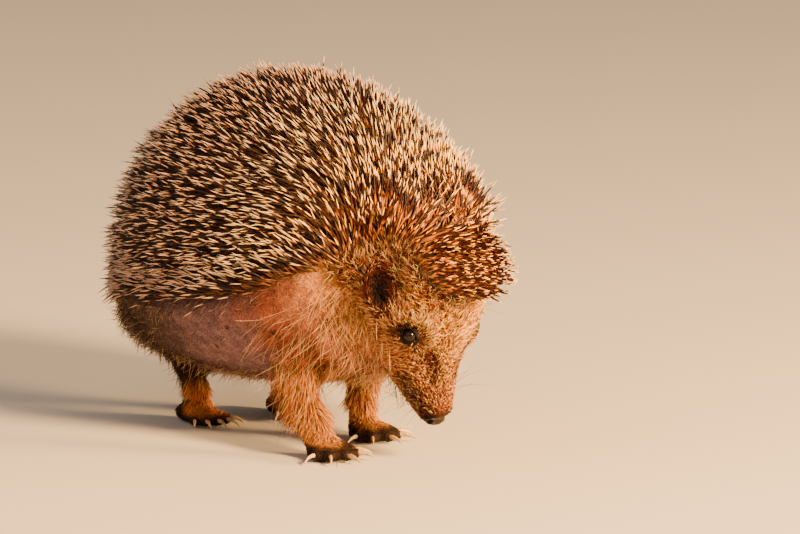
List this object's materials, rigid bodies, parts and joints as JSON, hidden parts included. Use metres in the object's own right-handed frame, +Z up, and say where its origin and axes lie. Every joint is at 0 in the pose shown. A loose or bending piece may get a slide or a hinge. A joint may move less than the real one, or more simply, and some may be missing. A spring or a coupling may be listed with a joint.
{
  "type": "hedgehog",
  "caption": "Life-size still model of a hedgehog standing with a rounded quilled back and its muzzle lowered to the ground, for display.",
  "frame": {"origin": "middle of the model's box in X and Y, on the floor that the paws stand on", "axes": "+Z up, -Y the way the animal faces, -X its right side"},
  "size_m": [0.1352, 0.2142, 0.1472],
  "materials": {
    "quills": "satin horn quills, cream at the tips with a dark band below",
    "face_fur": "short coarse fur, golden to russet",
    "paw_skin": "dark dry skin with thin hair",
    "horn": "pale worn claw horn",
    "nose_skin": "moist black-brown skin",
    "eye": "wet gloss black",
    "ear_skin": "dull thin brown skin"
  },
  "bodies": {
    "root": {"trunk": "quills", "neck": "quills", "head": "face_fur", "nose": "nose_skin", "eye_right": "eye", "eye_left": "eye", "ear_right": "ear_skin", "ear_left": "ear_skin", "tail": "face_fur", "foreleg_right": "face_fur", "foreleg_left": "face_fur", "hindleg_right": "face_fur", "hindleg_left": "face_fur", "forepaw_right": "paw_skin", "forepaw_left": "paw_skin", "hindpaw_right": "paw_skin", "hindpaw_left": "paw_skin", "forepaw_right_claw_1": "horn", "forepaw_right_claw_2": "horn", "forepaw_right_claw_3": "horn", "forepaw_right_claw_4": "horn", "forepaw_right_claw_5": "horn", "forepaw_left_claw_1": "horn", "forepaw_left_claw_2": "horn", "forepaw_left_claw_3": "horn", "forepaw_left_claw_4": "horn", "forepaw_left_claw_5": "horn", "hindpaw_right_claw_1": "horn", "hindpaw_right_claw_2": "horn", "hindpaw_right_claw_3": "horn", "hindpaw_right_claw_4": "horn", "hindpaw_right_claw_5": "horn", "hindpaw_left_claw_1": "horn", "hindpaw_left_claw_2": "horn", "hindpaw_left_claw_3": "horn", "hindpaw_left_claw_4": "horn", "hindpaw_left_claw_5": "horn"}
  },
  "joints": []
}
